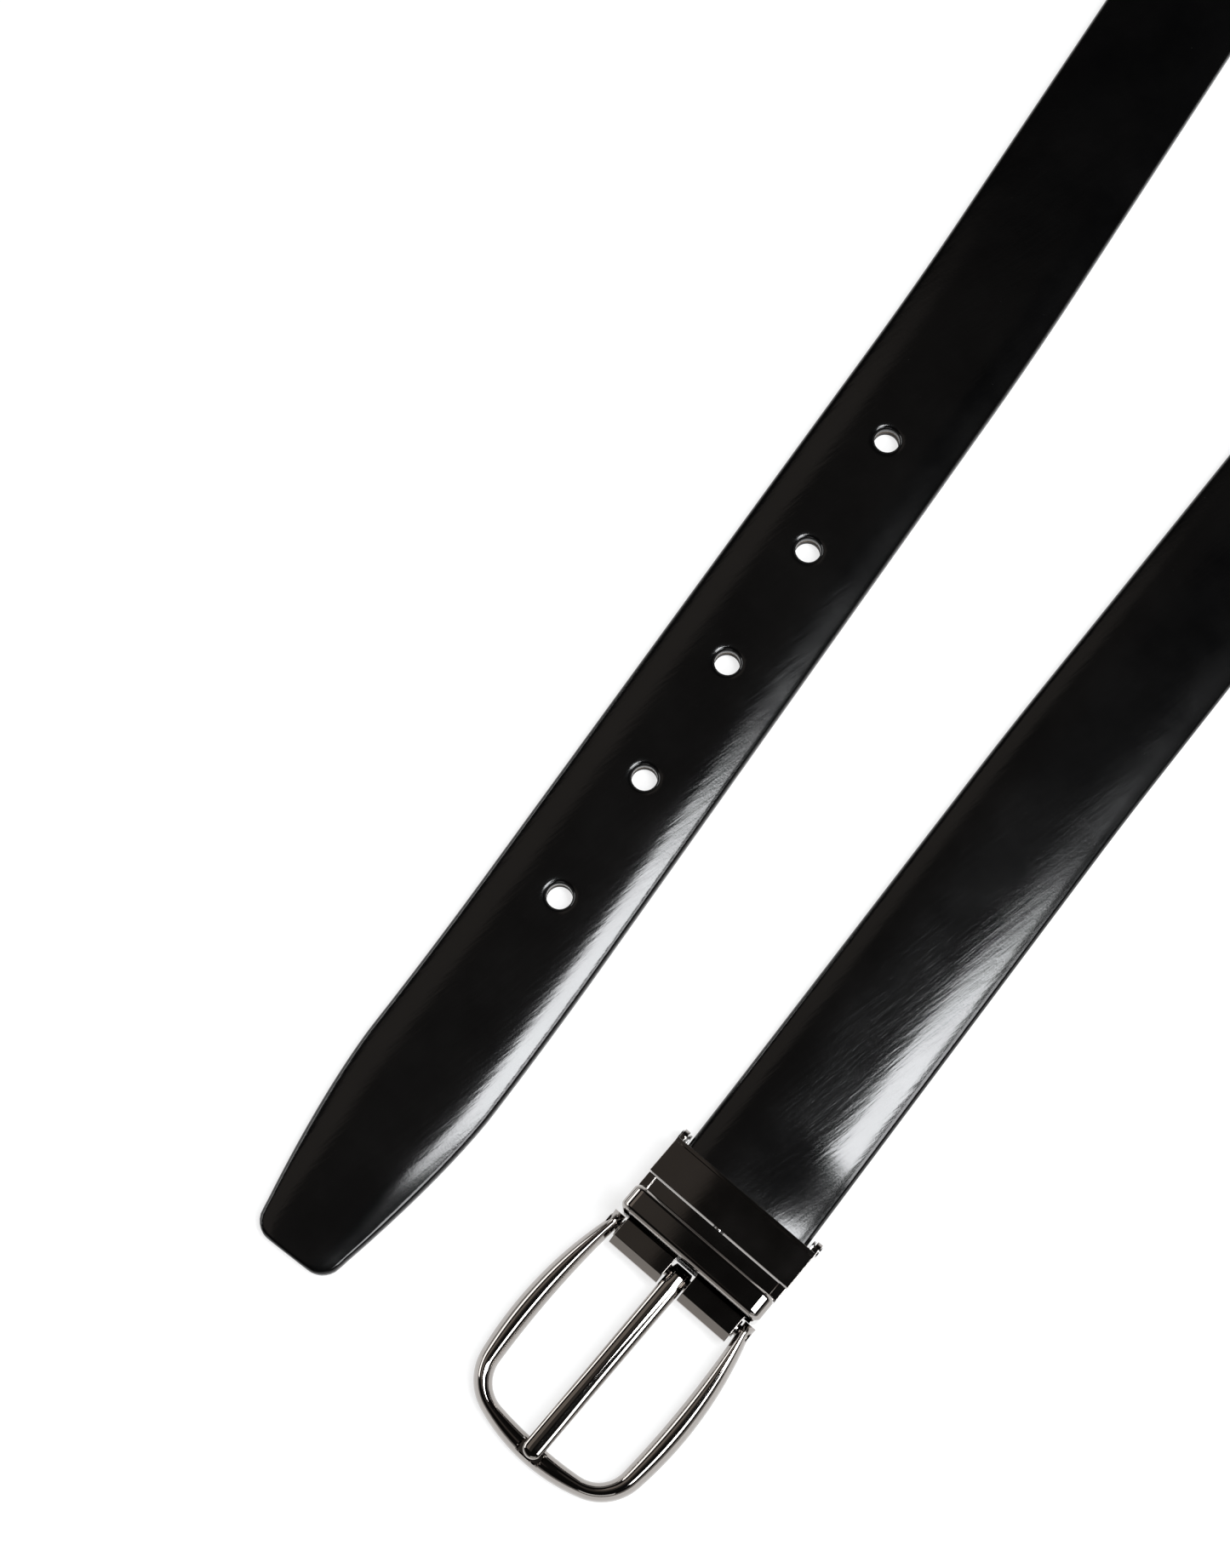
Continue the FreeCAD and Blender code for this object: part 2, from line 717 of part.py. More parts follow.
def side_of_u(sketch, start_y, crest_x, crest_y, bar_x, bar_radius, corner_radius):
    """Arm, corner, bar, corner and arm of a U, as arcs that are tangent to each other.

    The arm's arc has its crest at crest_x, crest_y and starts at x = 0. The bar's arc has
    its crest at bar_x on the axis.
    """
    drop = crest_y - start_y
    arm_radius = (crest_x ** 2 + drop ** 2) / (2 * drop)
    arm_centre = (-crest_x, crest_y - arm_radius)
    bar_centre = (bar_radius - bar_x, 0.0)
    # the corner's centre is inside both circles, a corner radius from each
    from_arm = arm_radius - corner_radius
    from_bar = bar_radius - corner_radius
    gap_x = bar_centre[0] - arm_centre[0]
    gap_y = bar_centre[1] - arm_centre[1]
    gap = math.hypot(gap_x, gap_y)
    along = (from_arm ** 2 - from_bar ** 2 + gap ** 2) / (2 * gap)
    away = math.sqrt(from_arm ** 2 - along ** 2)
    corner = (arm_centre[0] + (along * gap_x - away * gap_y) / gap,
              arm_centre[1] + (along * gap_y + away * gap_x) / gap)
    arm_angle = math.atan2(corner[1] - arm_centre[1], corner[0] - arm_centre[0])
    bar_angle = math.atan2(corner[1] - bar_centre[1], corner[0] - bar_centre[0])
    first_angle = math.atan2(start_y - arm_centre[1], -arm_centre[0])
    arm = [polar(arm_centre, arm_radius, first_angle + (arm_angle - first_angle) * share)
           for share in (0, 0.5, 1)]
    round_corner = [polar(corner, corner_radius, arm_angle + (bar_angle - arm_angle) * share)
                    for share in (0, 0.5, 1)]
    for y_sign in (1, -1):
        for three in (arm, round_corner):
            add_arc(sketch, *[(x, y_sign * y) for x, y in three])
    bar_end = polar(bar_centre, bar_radius, bar_angle)
    add_arc(sketch, bar_end, (-bar_x, 0.0), (bar_end[0], -bar_end[1]))


def make_frame_ring():
    """The U of the frame, its upper and lower edges rounded."""
    body = doc.addObject("PartDesign::Body", "frame_ring")
    outline = sketch_on(body, "frame_outline", "XY_Plane")
    side_of_u(outline, size("arm_outer"), size("frame_outer_at"), size("frame_outer"),
              size("frame_reach"), size("bar_outer_radius"), size("corner_outer"))
    side_of_u(outline, size("arm_inner"), size("frame_inner_at"), size("frame_inner"),
              size("frame_reach") - size("bar_width"), size("bar_inner_radius"), size("corner_inner"))
    for y_sign in (1, -1):
        add_line(outline, (0.0, y_sign * size("arm_outer")), (0.0, y_sign * size("arm_inner")))
    pad = body.newObject("PartDesign::Pad", "frame_pad")
    pad.Profile = outline
    pad.Midplane = True
    bind(pad, Length="{frame_thick}")
    doc.recompute()

    def on_rim(edge):
        points = [vertex.Point for vertex in edge.Vertexes]
        level = abs(points[0].z - points[1].z) < 1e-6
        return level and not all(abs(point.x) < 1e-6 for point in points)

    rounding = body.newObject("PartDesign::Fillet", "frame_rounding")
    rounding.Base = (pad, long_edges(pad, on_rim))
    bind(rounding, Radius="{frame_round}")
    return body


def make_buckle_frame():
    """The frame with an eye at each arm's end and a notch for the prong, about the pin."""
    pieces = [make_frame_ring()]
    for side, start in (("left", "{arm_inner}"), ("right", "-{arm_outer}")):
        pieces.append(rod("frame_eye_" + side, "0", start, "0", "{frame_eye}", "{arm_outer} - {arm_inner}"))
    bore = rod("frame_bore", "0", "-{arm_outer} - 1", "0", "{pin_radius} + {running_gap}",
               "2 * {arm_outer} + 2")
    notch = block("frame_notch", "{notch_lip} - {frame_reach}", "-{notch_half}",
                  "{frame_thick} / 2 - {notch_depth}", "{bar_width} + 1", "2 * {notch_half}", "{notch_depth} + 1")
    return cut("buckle_frame", fuse("frame_solid", *pieces), fuse("frame_tools", bore, notch))


# ------------------------------------------------------------------- the prong

def make_prong():
    """A tongue with an eye round the pin; its tip lies in the frame's notch."""
    body = doc.addObject("PartDesign::Body", "prong_blade")
    eye = size("prong_eye")
    reach = size("prong_reach")
    root_low = eye - size("prong_root")
    tip_low = size("prong_tip_base") - size("axis_height")
    tip_high = tip_low + size("prong_tip")
    half = size("prong_width") / 2
    side = sketch_on(body, "prong_side", "XZ_Plane")
    polygon_on(side, [(0.0, root_low), (0.0, eye), (-reach, tip_high), (-reach, tip_low),
                      (-reach + 4.0, tip_low), (-reach + 9.0, tip_low - 0.3)])
    pad = body.newObject("PartDesign::Pad", "prong_pad")
    pad.Profile = side
    pad.Midplane = True
    bind(pad, Length="{prong_width}")
    doc.recompute()

    def upright_tip(edge):
        points = [vertex.Point for vertex in edge.Vertexes]
        return all(abs(point.x + reach) < 1e-6 for point in points) and abs(points[0].z - points[1].z) > 0.5

    tip_round = body.newObject("PartDesign::Fillet", "prong_tip_round")
    tip_round.Base = (pad, long_edges(pad, upright_tip))
    tip_round.Radius = half - 0.05
    doc.recompute()

    def top_side(edge):
        points = [vertex.Point for vertex in edge.Vertexes]
        return all(point.z > tip_high - 1e-3 for point in points) and not all(point.x > -1e-6 for point in points)

    crest = body.newObject("PartDesign::Fillet", "prong_crest")
    crest.Base = (tip_round, long_edges(tip_round, top_side))
    bind(crest, Radius="{prong_round}")
    eye_rod = rod("prong_eye_rod", "0", "-{prong_width} / 2", "0", "{prong_eye}", "{prong_width}")
    bore = rod("prong_bore", "0", "-{prong_width}", "0", "{pin_radius} + {running_gap}", "2 * {prong_width}")
    return cut("prong", fuse("prong_solid", body, eye_rod), bore)


# ----------------------------------------------------------------- the assembly

def buckle_place(above=0.0, tilt=0.0):
    """Where the buckle's own frame lies: at the pin, with a lift and a tilt about the pin."""
    x, y = buckle_point(0.0)
    turn = Rotation(Vector(0, 0, 1), size("buckle_angle"))
    return Placement(Vector(x, y, above), turn * Rotation(Vector(0, 1, 0), tilt))


def make_belt():
    """Every sub-part by its node name, in place."""
    nodes = make_strap()
    on_surface = {
        "clamp_housing": make_clamp_housing(),
        "clamp_flap": make_clamp_flap(),
        "flap_rivets": make_flap_rivets(),
        "swivel_stud": make_swivel_stud(),
        "buckle_head": make_buckle_head(),
        "keeper_loop": make_keeper_loop(),
    }
    about_axis = {
        "swivel_spring": make_swivel_spring(),
        "hinge_pin": make_hinge_pin(),
        "buckle_frame": make_buckle_frame(),
        "prong": make_prong(),
    }
    doc.recompute()
    for name, item in on_surface.items():
        item.Placement = buckle_place() * item.Placement
    for name, item in about_axis.items():
        tilt = -size("frame_tilt") if name == "buckle_frame" else 0.0
        item.Placement = buckle_place(size("axis_height"), tilt)
    nodes.update(on_surface)
    nodes.update(about_axis)
    return nodes


def check_and_write(nodes):
    """Refuse any failed feature or shape, then write one STEP file for each node."""
    doc.recompute()
    for item in doc.Objects:
        bad = {"Invalid", "Error"} & set(item.State)
        if bad:
            raise RuntimeError("%s is %s" % (item.Name, bad))
    for name, item in nodes.items():
        if item.Shape.isNull() or not item.Shape.isValid() or not item.Shape.Solids:
            raise RuntimeError("%s has no valid solid" % name)
    os.makedirs("parts", exist_ok=True)
    for name, item in nodes.items():
        item.Label = name
        item.Shape.exportStep("parts/%s.step" % name)
        box = item.Shape.BoundBox
        print("%-14s %d solid(s) %9.1f mm3  x %.1f..%.1f  y %.1f..%.1f  z %.2f..%.2f" % (
            name, len(item.Shape.Solids), item.Shape.Volume,
            box.XMin, box.XMax, box.YMin, box.YMax, box.ZMin, box.ZMax))


check_and_write(make_belt())
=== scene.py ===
import json
import math

import bmesh
import bpy
from mathutils import Matrix, Vector


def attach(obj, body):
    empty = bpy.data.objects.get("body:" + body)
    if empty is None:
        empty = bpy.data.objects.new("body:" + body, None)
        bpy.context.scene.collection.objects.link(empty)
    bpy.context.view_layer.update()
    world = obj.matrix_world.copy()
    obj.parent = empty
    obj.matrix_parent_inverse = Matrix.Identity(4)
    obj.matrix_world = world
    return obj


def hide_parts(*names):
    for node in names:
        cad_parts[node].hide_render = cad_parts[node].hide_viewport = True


# A black 30 mm dress belt with a dark nickel clamp buckle, around its CAD frame.
# The belt's lengths are in millimetres until they become vertices, which are in metres.
# The camera and the stage are in metres.
# The buckle's pieces are drawn in the buckle's own frame: x from the hinge pin towards the
# strap, y along the pin, z up from the surface that the belt lies on.

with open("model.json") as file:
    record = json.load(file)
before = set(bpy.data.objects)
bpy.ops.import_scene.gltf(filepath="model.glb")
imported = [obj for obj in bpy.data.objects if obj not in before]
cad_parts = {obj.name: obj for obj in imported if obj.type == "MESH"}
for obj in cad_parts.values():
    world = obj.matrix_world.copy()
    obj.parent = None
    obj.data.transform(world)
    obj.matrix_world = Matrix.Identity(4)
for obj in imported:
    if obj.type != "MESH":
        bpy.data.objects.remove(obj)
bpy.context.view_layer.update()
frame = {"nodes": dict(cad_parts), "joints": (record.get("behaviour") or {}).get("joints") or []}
MM = 0.001

JOINTS = {joint["name"]: joint for joint in frame["joints"]}
PIN = Vector(JOINTS["frame_fold"]["pos_m"]) / MM
TOWARDS_STRAP = Vector(JOINTS["head_twist"]["axis"])
ALONG_PIN = Vector(JOINTS["frame_fold"]["axis"])
AXIS_HEIGHT = PIN.z


# ------------------------------------------------------------------ the camera

CAMERA_HEIGHT = 0.514
CAMERA_X = -0.1548
CAMERA_Y = -0.0793
VIEW_TILT = math.radians(16.0)
VIEW_HEADING = math.radians(34.75)
FOCAL_SHARE = 3080.0 / 1842.0
SENSOR = 36.0


def make_camera():
    """Above the buckle, looking down and a little towards the strap's far end."""
    data = bpy.data.cameras.new("camera")
    data.sensor_width = SENSOR
    data.lens = FOCAL_SHARE * SENSOR
    data.clip_start = 0.01
    camera = bpy.data.objects.new("camera", data)
    bpy.context.scene.collection.objects.link(camera)
    turn = Matrix.Rotation(VIEW_HEADING - math.pi / 2, 4, "Z") @ Matrix.Rotation(VIEW_TILT, 4, "X")
    camera.matrix_world = Matrix.Translation((CAMERA_X, CAMERA_Y, CAMERA_HEIGHT)) @ turn
    bpy.context.scene.camera = camera


make_camera()


# --------------------------------------------------------------- the strap's route

BELT_SIZE = 950.0
STRAP_STOP = 14.3
CLAMP_FAR = 20.4
HALF_WIDTH = 15.0
TIP_REACH = 148.0
TIP_BEND = -85.0
TIP_TURN = math.radians(2.2)
RUN_BEND = 95.0
RUN_TURN = math.radians(2.15)
RETURN_BEND = 20.0
RETURN_TURN = math.radians(4.3)
END_TURN = math.radians(3.05)
BEND_RADIUS = 1000.0
UP_START = 352.0
UP_LENGTH = 125.0
DOWN_END = 215.0
DOWN_LENGTH = 150.0
CLAMP_LIFT = 1.9
LIFT_START = 26.0
LIFT_END = 2.0


def walk(pose, length, turn):
    """The pose at the end of a straight run or an arc."""
    x, y, heading = pose
    if abs(turn) < 1e-9:
        return (x + length * math.cos(heading), y + length * math.sin(heading), heading)
    radius = length / turn
    return (x + radius * (math.sin(heading + turn) - math.sin(heading)),
            y - radius * (math.cos(heading + turn) - math.cos(heading)),
            heading + turn)


def route():
    """The start pose and the steps of the strap's route, as the CAD frame has them."""
    tip_run = TIP_REACH + TIP_BEND
    start = (TIP_BEND - tip_run * math.cos(TIP_TURN), tip_run * math.sin(TIP_TURN), -TIP_TURN)
    hole_run = RUN_BEND - TIP_BEND
    mouth = PIN + TOWARDS_STRAP * CLAMP_FAR
    inside = CLAMP_FAR - STRAP_STOP
    end = (mouth.x - inside * math.cos(END_TURN), mouth.y + inside * math.sin(END_TURN))
    bend_run = (RETURN_BEND - end[0]) / math.cos(END_TURN)
    bend_y = end[1] - bend_run * math.sin(END_TURN)
    slope_a = math.tan(RUN_TURN)
    slope_b = -math.tan(RETURN_TURN)
    meet_x = ((bend_y - slope_b * RETURN_BEND) + slope_a * RUN_BEND) / (slope_a - slope_b)
    used_a = (RUN_BEND - meet_x) / math.cos(RUN_TURN)
    used_b = (RETURN_BEND - meet_x) / math.cos(RETURN_TURN)
    opening = RUN_TURN + RETURN_TURN
    strap = BELT_SIZE - STRAP_STOP + TIP_REACH
    spare = strap - tip_run - hole_run - bend_run + used_a + used_b
    tangent = spare / (2 + math.tan(opening / 2) * (math.pi + opening))
    loop_radius = tangent * math.tan(opening / 2)
    tip_cut, run_cut, back_cut = (BEND_RADIUS * math.tan(turn / 2)
                                  for turn in (TIP_TURN, RUN_TURN, RETURN_TURN - END_TURN))
    back_turn = RETURN_TURN - END_TURN
    return start, [
        (tip_run - tip_cut, 0.0),
        (BEND_RADIUS * TIP_TURN, TIP_TURN),
        (hole_run - tip_cut - run_cut, 0.0),
        (BEND_RADIUS * RUN_TURN, RUN_TURN),
        (tangent - used_a - run_cut, 0.0),
        (loop_radius * (math.pi + opening), -(math.pi + opening)),
        (tangent - used_b - back_cut, 0.0),
        (BEND_RADIUS * back_turn, back_turn),
        (bend_run - back_cut, 0.0),
    ]


START, STEPS = route()
LENGTH = sum(length for length, turn in STEPS)


def pose_at(distance):
    """Where the strap's centre line is, and its heading, at a distance from the tip."""
    pose = START
    left = distance
    for length, turn in STEPS:
        if left <= length:
            return walk(pose, left, turn * left / length)
        pose = walk(pose, length, turn)
        left -= length
    return pose


def ease(value):
    """A smooth step from 0 to 1."""
    value = min(1.0, max(0.0, value))
    return value * value * (3 - 2 * value)


def in_space(distance, across, up):
    """A point of the strap: across from its centre line, and up from its underside."""
    x, y, heading = pose_at(distance)
    turned_up = ease((distance - UP_START) / UP_LENGTH)
    not_down = ease((LENGTH - DOWN_END - distance) / DOWN_LENGTH)
    roll = math.pi / 2 * min(turned_up, not_down)
    lift = CLAMP_LIFT * ease((LIFT_START - (LENGTH - distance)) / (LIFT_START - LIFT_END))
    side = across * math.cos(roll) + up * math.sin(roll)
    rise = up * math.cos(roll) - across * math.sin(roll)
    return Vector((x - math.sin(heading) * side,
                   y + math.cos(heading) * side,
                   rise + HALF_WIDTH * math.sin(roll) + lift)) * MM


# -------------------------------------------------------------- the strap's section

SEAM_HEIGHT = 1.2
EDGE_HEIGHT = 2.4
CROWN = 1.4
CROWN_POWER = 4
EDGE_ROUND = 0.85
TIP_HALF = 9.6
TIP_CORNER = 4.8
TAPER_LENGTH = 45.0
TAPER_POWER = 1.6
HOLE_RADIUS = 2.66
HOLE_PITCH = 30.0
HOLE_COUNT = 5
PATCH_HALF = 6.0
PATCH_CELLS = 8
TIP_CROWN = 0.45
TIP_THIN_LENGTH = 28.0
THINNEST_EDGE = 0.25
LAYER_GAP = 0.02
LINING_ROUND_SHARE = 0.7
LINING_ROUND_MOST = 0.6

# radius, how round the ring is, and how far it sinks as a share of the layer's rim drop
RIM = [(4.6, 0.5, 0.0), (3.9, 0.9, 0.0), (3.45, 1.0, 0.06), (3.2, 1.0, 0.2), (3.0, 1.0, 0.42),
       (2.82, 1.0, 0.72), (HOLE_RADIUS, 1.0, 1.1)]


def half_width_at(distance):
    """Half the strap's width: a rounded blunt end, and a taper that eases into the full width."""
    if distance < TIP_CORNER:
        return TIP_HALF - TIP_CORNER + math.sqrt(TIP_CORNER ** 2 - (TIP_CORNER - distance) ** 2)
    if distance < TAPER_LENGTH:
        share = (distance - TIP_CORNER) / (TAPER_LENGTH - TIP_CORNER)
        return HALF_WIDTH - (HALF_WIDTH - TIP_HALF) * (1 - share) ** TAPER_POWER
    return HALF_WIDTH


def rounding_drop(inset):
    """How far a rounded edge lies below the flat, at an inset from the edge."""
    if inset >= EDGE_ROUND:
        return 0.0
    return EDGE_ROUND - math.sqrt(max(0.0, EDGE_ROUND ** 2 - (EDGE_ROUND - inset) ** 2))


def dome(distance, across):
    """Height of the face over the underside: crowned, rounded at its edges and thin at the tip."""
    half = half_width_at(distance)
    share = min(1.0, abs(across) / half)
    thinning = TIP_CROWN + (1 - TIP_CROWN) * ease(distance / TIP_THIN_LENGTH)
    crown = CROWN * (1 - share ** CROWN_POWER) * thinning
    drop = max(rounding_drop(half - abs(across)), rounding_drop(distance))
    return EDGE_HEIGHT + crown - min(drop, EDGE_HEIGHT - SEAM_HEIGHT - THINNEST_EDGE)


def along_marks():
    """Distances from the tip at which the strap's mesh has a row of vertices."""
    marks = [0.0, 0.08, 0.2, 0.4, 0.65, 0.9, 1.4, 2.1, 3.0]
    first_patch = TIP_REACH - (HOLE_COUNT // 2) * HOLE_PITCH - PATCH_HALF
    steps = int((first_patch - 3.0) / 1.5)
    marks += [3.0 + (first_patch - 3.0) * n / steps for n in range(1, steps)]
    cell = 2 * PATCH_HALF / PATCH_CELLS
    after = first_patch + (HOLE_COUNT - 1) * HOLE_PITCH + 2 * PATCH_HALF
    marks += [first_patch + cell * n for n in range(int(round((after - first_patch) / cell)))]
    steps = int((LENGTH - after) / 2.2)
    marks += [after + (LENGTH - after) * n / steps for n in range(steps + 1)]
    return marks


def across_shares():
    """Shares of the half width at which the mesh has a line of vertices, left to right."""
    inner = [n / 10 for n in range(-8, 9)]
    outer = [0.86, 0.91, 0.945, 0.965, 0.98, 0.99, 0.996, 1.0]
    return [-share for share in reversed(outer)] + inner + outer


MARKS = along_marks()
SHARES = across_shares()


def hole_marks():
    """Distances from the tip to the holes' centres."""
    return [TIP_REACH + (n - HOLE_COUNT // 2) * HOLE_PITCH for n in range(HOLE_COUNT)]


def in_patch(distance, across):
    """Whether a cell's centre lies in the square round a hole."""
    return abs(across) < PATCH_HALF and any(abs(distance - hole) < PATCH_HALF for hole in hole_marks())


def perimeter(count):
    """Grid steps round a square of cells, as (row, column) pairs from one corner."""
    side = [(0, n) for n in range(count)]
    side += [(n, count) for n in range(count)]
    side += [(count, count - n) for n in range(count)]
    return side + [(count - n, 0) for n in range(count)]


def sheet_of(mesh, height):
    """A grid of vertices over the whole strap, at a height that depends on the place."""
    return [[mesh.verts.new(in_space(mark, half_width_at(mark) * share,
                                     height(mark, half_width_at(mark) * share)))
             for share in SHARES] for mark in MARKS]


def punch_hole(mesh, hole, sheets, rim_drop):
    """One hole in a patch left open in both sheets: its drawn-in rims, and the wall between."""
    first_row = min(range(len(MARKS)), key=lambda r: abs(MARKS[r] - (hole - PATCH_HALF)))
    first_col = min(range(len(SHARES)), key=lambda c: abs(SHARES[c] * HALF_WIDTH + PATCH_HALF))
    steps = perimeter(PATCH_CELLS)
    count = len(steps)
    corners = [(MARKS[first_row + r] - hole, SHARES[first_col + c] * HALF_WIDTH) for r, c in steps]
    loops = []
    for grid, height, side in sheets:
        rings = [[grid[first_row + r][first_col + c] for r, c in steps]]
        for radius, share, sink in RIM:
            ring = []
            for dx, dy in corners:
                scale = (1 - share) + share * radius / math.hypot(dx, dy)
                distance = hole + dx * scale
                across = dy * scale
                level = height(distance, across) - side * sink * rim_drop
                ring.append(mesh.verts.new(in_space(distance, across, level)))
            rings.append(ring)
        for outer, inner in zip(rings, rings[1:]):
            for n in range(count):
                m = (n + 1) % count
                quad = (outer[n], outer[m], inner[m], inner[n])
                mesh.faces.new(quad if side < 0 else tuple(reversed(quad)))
        loops.append(rings[-1])
    for n in range(count):
        m = (n + 1) % count
        mesh.faces.new((loops[0][n], loops[0][m], loops[1][m], loops[1][n]))


def layer_mesh(name, top, bottom, rim_drop):
    """A closed layer of the strap between two heights, with the holes punched through it."""
    mesh = bmesh.new()
    upper = sheet_of(mesh, top)
    lower = sheet_of(mesh, bottom)
    last = len(SHARES) - 1
    for r in range(len(MARKS) - 1):
        for c in range(last):
            middle = (MARKS[r] + MARKS[r + 1]) / 2
            across = half_width_at(middle) * (SHARES[c] + SHARES[c + 1]) / 2
            if in_patch(middle, across):
                continue
            mesh.faces.new((upper[r][c], upper[r + 1][c], upper[r + 1][c + 1], upper[r][c + 1]))
            mesh.faces.new((lower[r][c], lower[r][c + 1], lower[r + 1][c + 1], lower[r + 1][c]))
        mesh.faces.new((upper[r][0], lower[r][0], lower[r + 1][0], upper[r + 1][0]))
        mesh.faces.new((upper[r][last], upper[r + 1][last], lower[r + 1][last], lower[r][last]))
    for r, flip in ((0, False), (len(MARKS) - 1, True)):
        for c in range(last):
            quad = (upper[r][c], upper[r][c + 1], lower[r][c + 1], lower[r][c])
            mesh.faces.new(tuple(reversed(quad)) if flip else quad)
    for hole in hole_marks():
        punch_hole(mesh, hole, ((upper, top, 1), (lower, bottom, -1)), rim_drop)
    bmesh.ops.recalc_face_normals(mesh, faces=mesh.faces)
    return finish_mesh(name, mesh)


def finish_mesh(name, mesh, smooth_angle=38.0):
    """An object from a bmesh, smooth except at its sharp edges."""
    data = bpy.data.meshes.new(name)
    mesh.to_mesh(data)
    mesh.free()
    data.shade_smooth()
    data.set_sharp_from_angle(angle=math.radians(smooth_angle))
    piece = bpy.data.objects.new(name, data)
    bpy.context.scene.collection.objects.link(piece)
    return piece


def seam(distance, across):
    """The underside of the face leather, at the same height everywhere."""
    return SEAM_HEIGHT


def lining_top(distance, across):
    """The lining's upper side, a hair below the face leather."""
    return SEAM_HEIGHT - LAYER_GAP


def lining_under(distance, across):
    """The lining's underside, rounded at its edges."""
    inset = min(half_width_at(distance) - abs(across), distance)
    return min(LINING_ROUND_MOST, LINING_ROUND_SHARE * rounding_drop(inset))


def make_strap(face_material, back_material):
    """The face leather with its dome and punched holes, and the lining behind it."""
    face = layer_mesh("strap_face_skin", dome, seam, 0.55)
    face.data.materials.append(face_material)
    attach(face, "strap")
    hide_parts("strap_face")
    lining = layer_mesh("strap_lining_skin", lining_top, lining_under, 0.12)
    lining.data.materials.append(back_material)
    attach(lining, "strap")
    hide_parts("strap_lining")


# ------------------------------------------------------------------- materials

def new_material(name, colour, metallic, roughness):
    """A new material and its Principled shader."""
    material = bpy.data.materials.new(name)
    material.use_nodes = True
    nodes = material.node_tree.nodes
    shader = nodes["Principled BSDF"]
    shader.inputs["Base Color"].default_value = (*colour, 1.0)
    shader.inputs["Metallic"].default_value = metallic
    shader.inputs["Roughness"].default_value = roughness
    return material, shader


def add_node(material, kind, inputs=None, **settings):
    """One shader node: inputs are values or the sockets that feed them."""
    node = material.node_tree.nodes.new("ShaderNode" + kind)
    for key, value in settings.items():
        setattr(node, key, value)
    for key, value in (inputs or {}).items():
        if isinstance(value, bpy.types.NodeSocket):
            material.node_tree.links.new(value, node.inputs[key])
        else:
            node.inputs[key].default_value = value
    return node


def noise(material, scale, detail=4.0, stretch=(1.0, 1.0, 1.0), turn=0.0):
    """Noise in the object's own space, drawn out along a direction turned about Z; scale is per metre."""
    place = add_node(material, "TexCoord").outputs["Object"]
    mapping = add_node(material, "Mapping", {"Vector": place, "Scale": stretch, "Rotation": (0.0, 0.0, turn)},
                       vector_type="TEXTURE")
    return add_node(material, "TexNoise", {"Vector": mapping.outputs["Vector"], "Scale": scale,
                                           "Detail": detail, "Roughness": 0.6}).outputs["Fac"]


def ranged(material, value, low, high, out_low, out_high):
    """A value carried from one range to another."""
    return add_node(material, "MapRange", {"Value": value, "From Min": low, "From Max": high,
                                           "To Min": out_low, "To Max": out_high}).outputs["Result"]


def colours(material, value, *stops):
    """A colour ramp from (place, colour) stops."""
    ramp = add_node(material, "ValToRGB", {"Fac": value})
    elements = ramp.color_ramp.elements
    while len(elements) < len(stops):
        elements.new(0.5)
    for element, (place, colour) in zip(elements, stops):
        element.position = place
        element.color = (*colour, 1.0)
    return ramp.outputs["Color"]


def feed(material, shader, name, socket):
    """Join a socket to one of the shader's inputs."""
    material.node_tree.links.new(socket, shader.inputs[name])


def bump(material, height, distance, strength=1.0, under=None):
    """A bump layer over the one under it."""
    inputs = {"Height": height, "Distance": distance, "Strength": strength}
    if under is not None:
        inputs["Normal"] = under
    return add_node(material, "Bump", inputs).outputs["Normal"]


def face_leather():
    """Black box-finished leather: a fine pebble, brush marks, and a few pale specks."""
    material, shader = new_material("face_leather", (0.003, 0.003, 0.003), 0.0, 0.2)
    pebble = noise(material, 2500.0, 3.0)
    brushing = noise(material, 1100.0, 3.0, stretch=(9.0, 1.0, 1.0), turn=math.radians(-17))
    cloud = noise(material, 60.0, 4.0)
    fleck = noise(material, 2600.0, 2.0)
    tone = colours(material, cloud, (0.3, (0.0014, 0.0014, 0.0015)), (0.7, (0.0026, 0.0025, 0.0025)))
    specks = ranged(material, fleck, 0.775, 0.80, 0.0, 0.35)
    pale = add_node(material, "Mix", {"Factor": specks, "A": tone, "B": (0.08, 0.077, 0.074, 1.0)},
                    data_type="RGBA")
    feed(material, shader, "Base Color", pale.outputs["Result"])
    feed(material, shader, "Roughness", ranged(material, cloud, 0.25, 0.75, 0.12, 0.17))
    first = bump(material, pebble, 0.00003, 0.25)
    feed(material, shader, "Normal", bump(material, brushing, 0.00006, 0.45, under=first))
    return material


def back_leather():
    """The lining: matt black split leather with a coarser nap."""
    material, shader = new_material("back_leather", (0.03, 0.028, 0.027), 0.0, 0.7)
    nap = noise(material, 900.0, 6.0)
    cloud = noise(material, 45.0, 3.0)
    tone = colours(material, cloud, (0.3, (0.022, 0.02, 0.019)), (0.75, (0.042, 0.039, 0.037)))
    feed(material, shader, "Base Color", tone)
    feed(material, shader, "Roughness", ranged(material, nap, 0.3, 0.7, 0.58, 0.82))
    feed(material, shader, "Normal", bump(material, nap, 0.00015, 0.5))
    return material


def core_leather():
    """The core: bonded brown fibre, closed in between the face and the lining."""
    material, shader = new_material("core_leather", (0.18, 0.13, 0.09), 0.0, 0.85)
    fibre = noise(material, 1400.0, 6.0)
    tone = colours(material, fibre, (0.3, (0.12, 0.085, 0.06)), (0.7, (0.24, 0.18, 0.12)))
    feed(material, shader, "Base Color", tone)
    feed(material, shader, "Normal", bump(material, fibre, 0.0002, 0.6))
    return material


